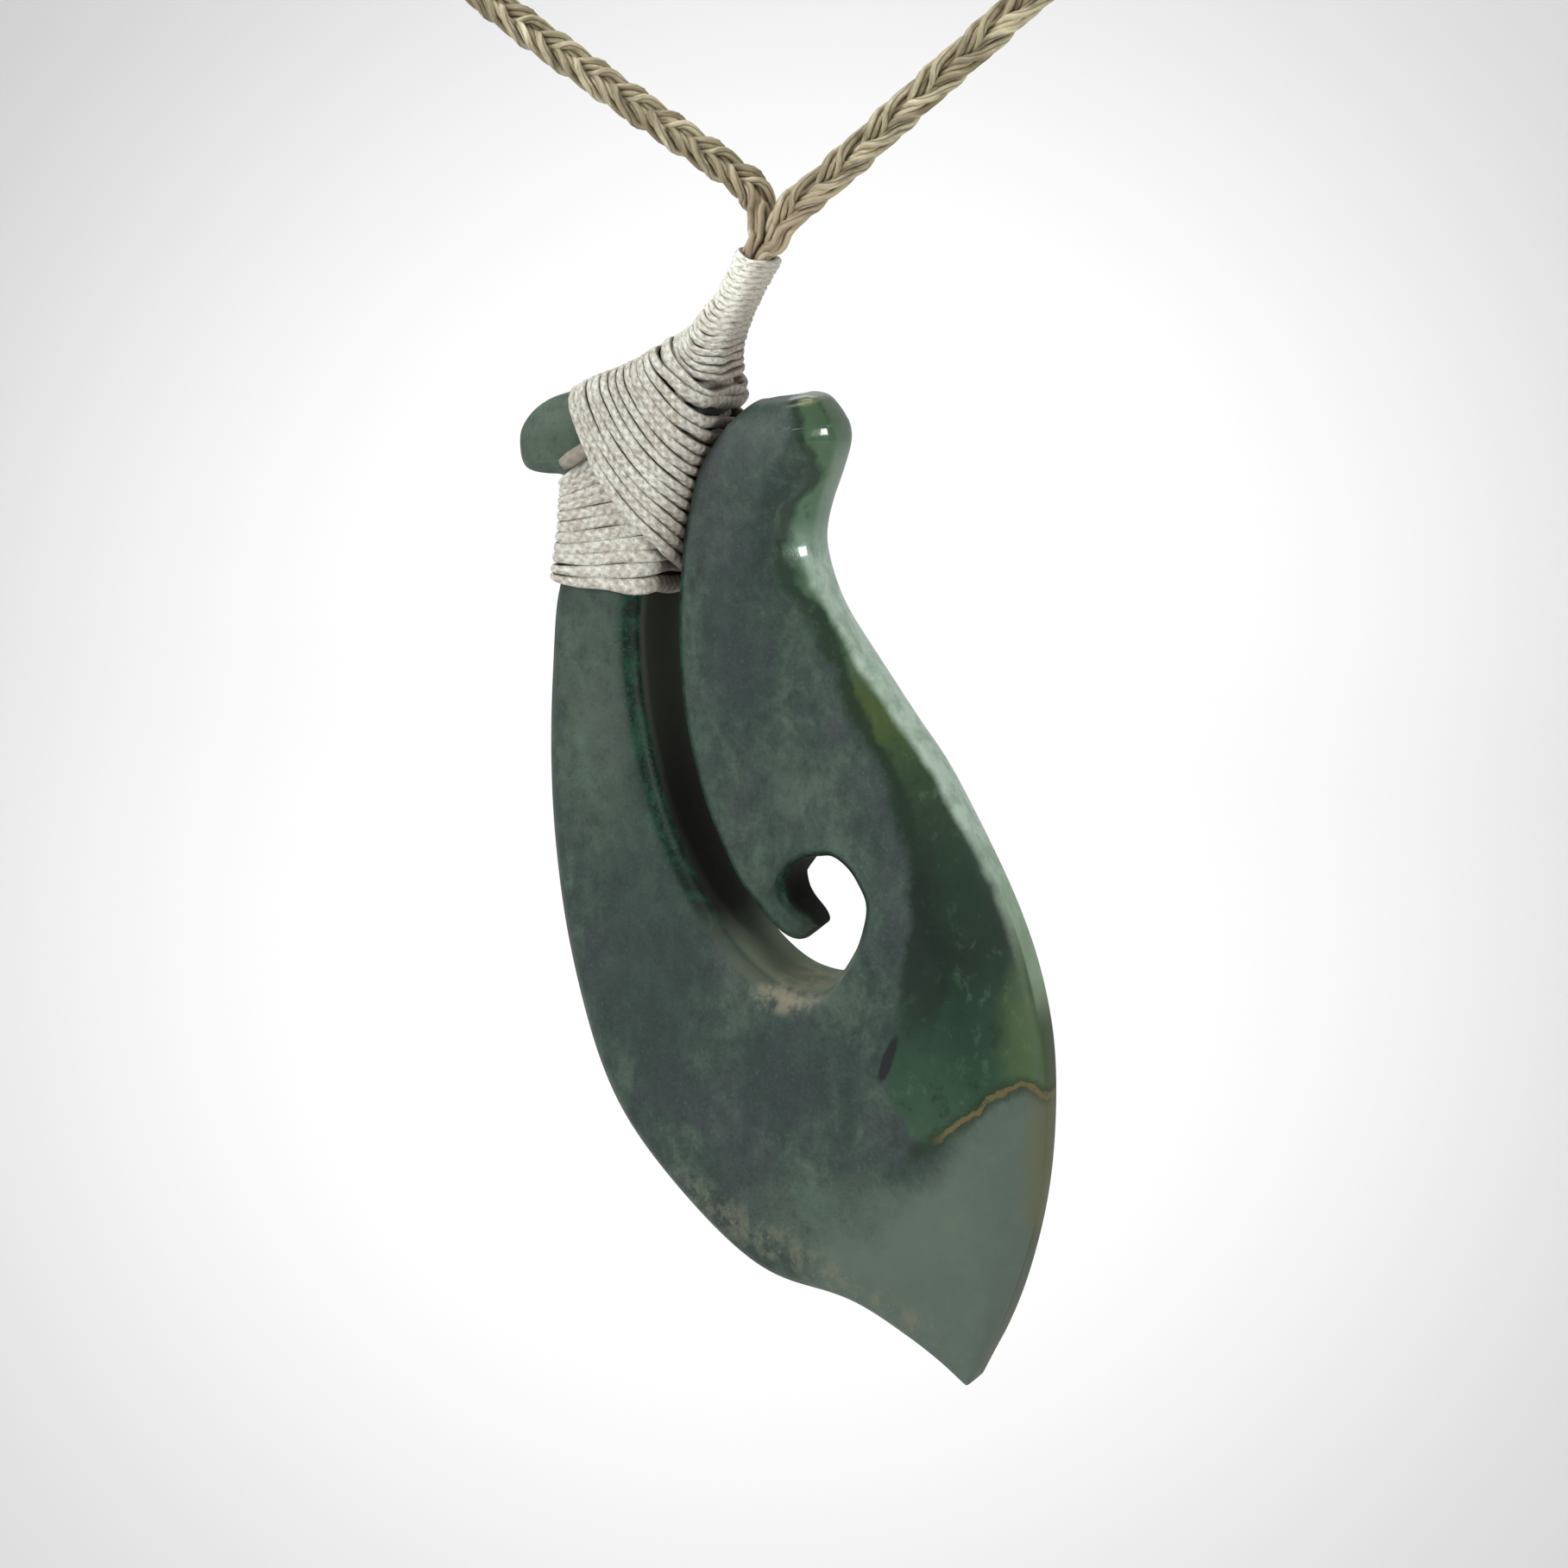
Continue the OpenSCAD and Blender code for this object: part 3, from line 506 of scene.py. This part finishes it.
# a place on one turn, as a share of the way round from the middle of its back, and the way out there
def turnPlace(row, share, below, bow, rise):
    left = Vector((row[0] * hook["wide"], 0, levelOf(row[1])))
    right = Vector((row[2] * hook["wide"], 0, levelOf(row[3])))
    across = (right - left).normalized()
    halfWide, halfThread = (right - left).length / 2, thread["thick"] / 2
    shankDeep = hook["thick"] / 2 + thread["gap"] + below * (thread["thick"] + thread["gap"])
    halfDeep = mix(hook["stemDeep"] / 2, shankDeep, row[4])
    widest = thread["roundest"] * min(halfWide, halfDeep)
    corner = mix(widest, min(thread["corner"] + below * halfThread, widest), row[5])
    grown = corner + halfThread
    flatWide, flatDeep = halfWide - corner, halfDeep - corner
    arc = math.pi / 2 * grown
    quarter, run = divmod(share % 1.0 * 4, 1)
    run = (run if quarter % 2 == 0 else 1 - run) * (flatWide + arc + flatDeep)
    if run < flatWide:
        u, v, nu, nv = run, halfDeep + halfThread, 0, 1
    elif run < flatWide + arc:
        angle = (run - flatWide) / grown
        nu, nv = math.sin(angle), math.cos(angle)
        u, v = flatWide + grown * nu, flatDeep + grown * nv
    else:
        u, v, nu, nv = halfWide + halfThread, flatDeep - (run - flatWide - arc), 1, 0
    sideways = -1 if quarter < 2 else 1
    backward = 1 if quarter in (0, 3) else -1
    drop = Vector((0, 1, 0)).cross(across) * bow * max(0, 1 - (u / (halfWide + thread["gap"])) ** 2)
    rightward, rearward = sideways * u / (halfWide + halfThread), backward * v / (halfDeep + halfThread)
    lift = rise * (1 + rightward) * (1 + rearward) / 4
    place = (left + right) / 2 + across * u * sideways + Vector((0, v * backward, lift)) + drop
    return hang + place * mm, across * nu * sideways + Vector((0, nv * backward, 0))


def spreadTurns(rows, count):  # places along the rows at which the turns lie evenly
    fine = 60  # steps from one row to the next
    steps = fine * (len(rows) - 1)
    ends = [[Vector((r[k] * hook["wide"], levelOf(r[k + 1]))) for k in (0, 2)]
            for r in (rowAt(rows, i / fine) for i in range(steps + 1))]
    runs = [0.0]
    for a, b in zip(ends, ends[1:]):
        runs.append(runs[-1] + ((b[0] - a[0]).length + (b[1] - a[1]).length) / 2)
    found, i = [], 0
    for n in range(count + 1):
        want = runs[-1] * n / count
        while i < steps - 1 and runs[i + 1] < want:
            i += 1
        found.append((i + (want - runs[i]) / (runs[i + 1] - runs[i])) / fine)
    return found


def windThread(name, rows, node, finish, extra=None):
    wound = windings[name]
    turns, seed = wound["turns"], wound["seed"]
    spots = spreadTurns(rows, turns)

    def turnAt(here, share):
        here = min(turns, max(0, here))
        i = min(int(here), turns - 1)
        row = rowAt(rows, mix(spots[i], spots[i + 1], here - i))
        bow, rise = mix(*wound["bow"], here / turns), mix(*wound["rise"], (here / turns) ** 0.5)
        return turnPlace(row, share, wound["below"], bow, rise)

    line, outs, wides = [], [], []
    climb = thread["climb"]  # share of a turn in which it goes over to the next one
    for turn in range(turns):
        row = rowAt(rows, spots[turn])
        halfWay = math.hypot((row[2] - row[0]) * hook["wide"], levelOf(row[3]) - levelOf(row[1]))
        steps = int(2 * (halfWay + hook["thick"] * row[4] + thread["spare"]) / thread["step"])
        for k in range(steps):
            share = k / steps
            here = turn + 0.5 * ease(share / climb) + 0.5 * ease((share - (1 - climb)) / climb)
            place, out = turnAt(here, share)
            above, under = turnAt(here - 0.5, share)[0], turnAt(here + 0.5, share)[0]
            pitch = (under - above) / (min(turns, here + 0.5) - max(0, here - 0.5))
            shake = noise.noise(Vector((seed, here * uneven["alongTurn"], share * uneven["alongShare"])))
            lie = noise.noise(Vector((here * uneven["outTurn"], seed, share * uneven["outShare"])))
            line.append(place + out * uneven["out"] * mm * lie + pitch * uneven["along"] * shake)
            outs.append(out)
            wide = pitch.length * 1000 * (1.0 + uneven["wide"] * shake)
            wides.append(min(thread["broad"], max(thread["narrow"], wide)) * mm)
    tucked = int(thread["tuck"] / thread["step"])  # both ends are tucked under
    for k in range(tucked):
        sink = thread["sink"] * mm * (1 - ease(k / tucked))
        line[k] -= outs[k] * sink
        line[-1 - k] -= outs[-1 - k] * sink
    bm = bmesh.new()
    layThread(bm, line, outs, wides, thread["thick"] * mm, thread["sides"], braided=True)
    if extra:
        extra(bm)
    bmesh.ops.recalc_face_normals(bm, faces=bm.faces)
    piece = bake(bm, name, finish)
    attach(piece, "root")
    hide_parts(node)


def layStub(bm):  # the cut end that peeps out beside the knob
    a, b = (hang + Vector(stub[end]) * mm for end in ("from", "to"))
    steps, start = stub["steps"], stub["taperFrom"]
    line = [a.lerp(b, k / steps) for k in range(steps + 1)]
    narrowing = [stub["taper"] * ease((k - start) / (steps - start)) for k in range(steps + 1)]
    wides = [stub["wide"] * mm * (1 - share) for share in narrowing]
    outs = [Vector((0, -1, 0))] * len(line)
    layThread(bm, line, outs, wides, stub["thick"] * mm, thread["sides"], braided=True, mark=stub["mark"])


def lashingFinish():
    f = Finish("waxedThread")
    place = f.place()
    x, y, z = f.parts(place)
    along, around, _ = f.parts(f.node("ShaderNodeUVMap", {"uv_map": "UVMap"}))
    across = (around * (2 * math.pi)).cosine()
    slant = along / braid["cell"] + across.size() * braid["lean"]
    slant = slant + across.band(-0.05, 0.05) * braid["offset"]
    cells = (across * math.pi).sine().size() * (slant * (2 * math.pi)).sine()
    crest = (around * (2 * math.pi)).sine()  # 1 on the outside of a turn, 0 where it meets the next
    cloud = f.cloud(place, 0.5, 4.0)
    fine = f.cloud(place, 3.2, 3.0)
    strand = f.cloud(f.node("ShaderNodeCombineXYZ", {}, along * 0.09, 0.0, 0.0), 1.0, 2.0)
    colour = f.blend(cloud.band(0.35, 0.65), tint(186, 180, 166), tint(210, 212, 200))
    colour = f.blend(strand.band(0.60, 0.40) * 0.35, colour, tint(174, 166, 152))
    # painted light: the top of the stem binding is painted near white, where light falls from above
    colour = f.blend(z.band(-12.0, -4.0) * 0.9, colour, tint(248, 249, 234))
    fibre = f.cloud(f.node("ShaderNodeCombineXYZ", {}, along * 1.5, around * 9, 0.0), 1.0, 3.0)
    colour = f.blend(fibre.band(0.50, 0.32) * 0.5, colour, tint(122, 114, 102))
    colour = f.blend(fibre.band(0.52, 0.70) * 0.6, colour, tint(240, 242, 232))
    # painted shade in the braid's hollows and painted highlight on its cells
    colour = f.blend(cells.band(0.0, -0.8) * fine.band(0.60, 0.42) * 0.42, colour, tint(112, 103, 90))
    colour = f.blend(cells.band(0.1, 0.8) * fine.band(0.40, 0.60) * 0.45, colour, tint(238, 241, 230))
    # painted shade on the sides of each turn and where neighbouring turns meet
    colour = f.blend(fine.band(0.46, 0.30) * crest.band(0.9, 0.5) * 0.6, colour, tint(98, 90, 78))
    colour = f.blend(crest.band(0.52, 0.10) * 0.85, colour, tint(66, 57, 46))
    # painted shade on the threads where they turn over the corner into the slot, away from the light and
    # shadowed by the stone
    corner = (x * 0.86 + y * 0.5 + 6.0 - (z + 16.0) * 0.34).band(-1.0, 1.0)
    colour = f.blend(corner * 0.45, colour, tint(122, 100, 80))
    colour = f.blend(around.band(2.0, 3.0) * 0.75, colour, tint(112, 102, 84))  # the stub
    return f.set(Base_Color=colour, Roughness=0.5 + (fine - 0.5) * 0.3, Sheen_Weight=0.1,
                 Normal=f.bump(cells * 0.6 + fine * 0.3, 0.00008, 0.9), Specular_IOR_Level=0.5)


# Plait: the three strands of the solids, each laid as three thin threads side by side
# route from the stem's mouth up the right, round the nape and back: places in millimetres from the nape
cordRoute = [(1.1, -152.4, -146.8), (2.1, -152.8, -145.2), (3.9, -153, -143.4), (7.8, -153, -140.5),
             (17.8, -152.4, -132.2), (28, -151.2, -123.7), (45, -147, -108), (61, -137, -89.5),
             (73, -120, -69), (80, -98, -49), (80, -73, -31), (73, -48, -18), (59, -25, -8), (40, -8, -2),
             (20, 0, 0), (0, 1.5, 0.5), (-20, 0, 0), (-40, -8, -2), (-59, -25, -8), (-73, -48, -19),
             (-80, -73, -33), (-80, -98, -52), (-74, -120, -73), (-63, -137, -94), (-47, -147.5, -111),
             (-30, -151, -123.4), (-16.6, -151.6, -132.2), (-3.9, -151, -140.5), (-1.3, -151, -143),
             (-0.8, -151.2, -145), (-0.9, -151.6, -146.8)]
plait = {"strand": 0.92, "clear": 0.25, "wallGap": 0.3, "middle": (0, -76, 0), "layRight": 19.3,
         "layLeft": 14.4, "turnRight": 10, "turnLeft": 55, "straight": 3.0, "opening": 3.6, "mouth": 1.6,
         "spreading": 3.4, "wide": 2.16, "thick": 1.3, "startAngle": 60, "step": 0.45, "fine": 6}
# the three threads of a strand lie side by side on the faces and bunch where it turns at the plait's edge
threads = {"wide": 0.70, "deep": 0.92, "sides": 8, "beside": 0.92, "closer": 0.2, "innerUp": 0.62,
           "outerUp": -0.2, "bunch": 0.56, "wander": 0.07, "wanderTurn": 0.5, "seedThread": 5.1,
           "seedStrand": 9.7}


def cordLine():  # the route with both ends run down into the stem, in millimetres
    ends = [[Vector((r[k] * hook["wide"], 0, levelOf(r[k + 1]))) for k in (0, 2)] for r in stemRows[:2]]
    mouth, deep = [(a + b) / 2 for a, b in ends]
    across = (ends[0][1] - ends[0][0]).normalized()
    apart = ((ends[0][1] - ends[0][0]).length - plait["strand"]) / 2 - plait["clear"]

    def inStem(place, side):
        return hang * 1000 + place + across * apart * side

    half = mouth.lerp(deep, 0.4)
    points = [inStem(deep, 1), inStem(half, 1), inStem(mouth * 0.6, 1)] + [Vector(p) for p in cordRoute]
    points += [inStem(mouth * 0.6, -1), inStem(half, -1), inStem(deep, -1)]
    rows = [tuple(p) for p in points]
    return [Vector(rowAt(rows, i / plait["fine"])) for i in range(plait["fine"] * (len(rows) - 1) + 1)]


def plaitFinish():
    f = Finish("plaitedThread")
    place = f.place()
    z = f.parts(place)[2]
    along, around, _ = f.parts(f.node("ShaderNodeUVMap", {"uv_map": "UVMap"}))
    number = f.node("ShaderNodeMath", {"operation": "FLOOR"}, around)
    crest = (around * (2 * math.pi)).sine().size()
    streak = f.cloud(f.node("ShaderNodeCombineXYZ", {}, along * 0.35, around * 3, 0.0), 1.0, 4.0, 0.6)
    shade = f.cloud(f.node("ShaderNodeCombineXYZ", {}, along * 0.05, number * 3.7, 0.0), 1.0, 3.0)
    cloud = f.cloud(place, 0.22, 4.0)
    colour = f.blend(shade.band(0.36, 0.60), tint(138, 127, 96), tint(194, 184, 152))
    # dark fibre streaks, partly painted shade in the gaps between fibres
    colour = f.blend(streak.band(0.54, 0.34) * 0.7, colour, tint(88, 78, 54))
    tanned = (cloud.band(0.58, 0.72) * 0.4).larger(z.band(7.0, 2.0) * 0.35)
    colour = f.blend(tanned, colour, tint(190, 166, 140))
    # light fibre streaks, partly painted highlight along the threads
    colour = f.blend(streak.band(0.56, 0.74) * 0.75, colour, tint(236, 230, 198))
    # painted shade where neighbouring threads meet
    colour = f.blend(crest.band(0.38, 0.0) * 0.7, colour, tint(58, 50, 34))
    return f.set(Base_Color=colour, Roughness=0.55, Normal=f.bump(streak, 0.00006, 0.8), Sheen_Weight=0.1)


def layPlait(finish):
    route = cordLine()
    runs = [0.0]
    for a, b in zip(route, route[1:]):
        runs.append(runs[-1] + (b - a).length)
    total = runs[-1]
    woven = total - 2 * (plait["straight"] + plait["opening"])
    change = (plait["layRight"] / plait["layLeft"] - 1) / 2
    thirds = round(3 * woven * (1 + change) / plait["layRight"])
    loopMiddle = Vector(plait["middle"])
    spread = (hook["stemDeep"] - plait["strand"]) / 2 - plait["wallGap"]
    halfWide, halfThick = plait["wide"] / 2, plait["thick"] / 2
    start = math.radians(plait["startAngle"])

    def routeAt(run):
        run = min(total, max(0.0, run))
        low, high = 0, len(runs) - 2
        while low < high:
            middle = (low + high + 1) // 2
            low, high = (middle, high) if runs[middle] <= run else (low, middle - 1)
        return route[low].lerp(route[low + 1], (run - runs[low]) / (runs[low + 1] - runs[low]))

    def flatFace(run):
        place = routeAt(run)
        along = (routeAt(run + 0.5) - routeAt(run - 0.5)).normalized()
        out = Vector((place.x - loopMiddle.x, place.y - loopMiddle.y, 0))
        out = (out - along * out.dot(along)).normalized()
        side = along.cross(out)
        turn = math.radians(mix(plait["turnRight"], plait["turnLeft"], run / total))
        cosine, sine = math.cos(turn), math.sin(turn)
        return place, side * cosine + out * sine, out * cosine - side * sine

    count = int(total / plait["step"])
    frames = [flatFace(total * i / count) for i in range(count + 1)]
    for number, name in enumerate("abc"):
        middles, slants, fades, turns = [], [], [], []
        for i, (place, side, out) in enumerate(frames):
            run = total * i / count
            share = min(1, max(0, (run - plait["straight"] - plait["opening"]) / woven))
            laid = thirds * (share + change * share * share) / (1 + change)
            angle = start + math.radians(120 * (laid + number))  # each strand a third further on
            fade = ease((min(run, total - run) - plait["mouth"]) / plait["spreading"])
            row = Vector((0, -spread * math.sin(angle) / math.sin(start), 0))
            crossed = side * halfWide * math.sin(angle) + out * halfThick * math.sin(2 * angle)
            middles.append(place + row.lerp(crossed, fade))
            slant = side * -2 * math.cos(2 * angle) * halfThick + out * math.cos(angle) * halfWide
            slants.append(slant.normalized())
            fades.append(fade)
            turns.append(abs(math.sin(angle)) ** 4)
        bm = bmesh.new()
        for one in (-1, 0, 1):
            line = []
            third = math.radians(120 * one)
            up = threads["outerUp"] if one else threads["innerUp"]
            for i, middle in enumerate(middles):
                along = (middles[min(i + 1, count)] - middles[max(i - 1, 0)]).normalized()
                flat = (slants[i] - along * slants[i].dot(along)).normalized()
                beside = along.cross(flat)
                bunch = beside * math.cos(third) + flat * math.sin(third)
                heading = 1 if slants[i].dot(frames[i][0] - middle) > 0 else -1  # 1 is to the middle
                bed = beside * one * threads["beside"] * (1 - threads["closer"] * turns[i])
                bed += flat * up * turns[i] * heading
                seed = Vector((i * plait["step"] * threads["wanderTurn"], one * threads["seedThread"],
                               number * threads["seedStrand"]))
                wander = noise.noise_vector(seed) * threads["wander"]
                shift = (bunch * threads["bunch"]).lerp(bed, fades[i]) * threads["wide"]
                line.append((middle + shift + wander) * mm)
            wides, mark = [threads["wide"] * mm] * len(line), 3 * number + one + 1
            layThread(bm, line, slants, wides, threads["deep"] * mm, threads["sides"], mark=mark)
        bmesh.ops.recalc_face_normals(bm, faces=bm.faces)
        piece = bake(bm, "plaitThreads_" + name, finish)
        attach(piece, "root")
        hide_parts("plait_strand_" + name)


# Stage: a floor that bends up into a wall, in metres, with a painted pool of light, palest where the
# picture's middle lies
stage = {"wide": 4.0, "level": -0.42, "front": 3.5, "bendFrom": 0.9, "bend": 0.6, "high": 2.4,
         "cells": (24, 60), "paleTo": 0.45, "dimFrom": 1.55, "pale": 0.93, "dim": 0.6, "sky": 0.45}
# lights: place and target in millimetres, size across and up in metres, and power in watts
middle = (0, -152, -205)
lights = {"frontSoft": ((-560, -1000, 250), middle, 0.8, 0.8, 8),
          "rightWindow": ((942, -431, -95), middle, 0.2, 0.2, 3.2),
          "backSoft": ((-200, -100, 700), (-310, 520, -310), 1.2, 0.6, 6),
          "floorSoft": ((-720, 1050, 850), (-720, 1150, -420), 1.4, 1.0, 8)}


def lightPoolFinish():
    f = Finish("paintedLightPool")
    # painted pool of light: the stage is painted palest along the camera's line of sight and dimmer away
    # from it
    start, end = Vector(view["from"]) * mm, Vector(view["to"]) * mm
    axis = (end - start).normalized()
    way = f.node("ShaderNodeTexCoord", {}, out=3)
    way = f.node("ShaderNodeVectorMath", {"operation": "SUBTRACT"}, way, start)
    way = f.node("ShaderNodeVectorMath", {"operation": "NORMALIZE"}, way)
    level = f.node("ShaderNodeVectorMath", {"operation": "DOT_PRODUCT"}, way, axis, out=1)
    away = f.node("ShaderNodeMath", {"operation": "SQRT"}, 1 / (level * level) - 1) * (2 * view["focal"])
    share = away.band(stage["paleTo"], stage["dimFrom"])
    pale, dim = ((stage[name],) * 3 + (1,) for name in ("pale", "dim"))
    return f.set(Base_Color=f.blend(share, pale, dim), Roughness=0.9, Specular_IOR_Level=0.1)


def setStage():
    bm = bmesh.new()
    across, along = stage["cells"]
    grid = bmesh.ops.create_grid(bm, x_segments=across, y_segments=along, size=1)["verts"]
    quarter = stage["bend"] * math.pi / 2
    for vert in grid:
        reach = mix(-stage["front"], quarter + stage["high"], (vert.co.y + 1) / 2)
        angle = min(quarter, max(0.0, reach)) / stage["bend"]
        back = stage["bendFrom"] + min(0.0, reach) + stage["bend"] * math.sin(angle)
        up = stage["level"] + stage["bend"] * (1 - math.cos(angle)) + max(0.0, reach - quarter)
        vert.co = Vector((vert.co.x * stage["wide"], back, up))
    bake(bm, "paleSweep", lightPoolFinish())


def softLight(name, place, target, wide, high, power):
    lamp = bpy.data.lights.new(name, "AREA")
    lamp.shape, lamp.size, lamp.size_y, lamp.energy = "RECTANGLE", wide, high, power
    obj = bpy.data.objects.new(name, lamp)
    world.collection.objects.link(obj)
    aim(obj, place, target)


def lightStage():
    sky = bpy.data.worlds.new("paleRoom")
    sky.use_nodes = True
    colour, strength = sky.node_tree.nodes["Background"].inputs[:2]
    colour.default_value = (1, 1, 1, 1)
    strength.default_value = stage["sky"]
    world.world = sky
    for name, settings in lights.items():
        softLight(name, *settings)


placeCamera()
lightStage()
setStage()
print("camera, light and floor stand")
carveStone()
print("stone carved")
waxed = lashingFinish()
windThread("shankTurns", shankRows, "shank_binding", waxed, layStub)
windThread("diagonalTurns", diagonalRows, "diagonal_binding", waxed)
windThread("stemTurns", stemRows, "stem_binding", waxed)
print("lashing wound")
layPlait(plaitFinish())
print("cord plaited")
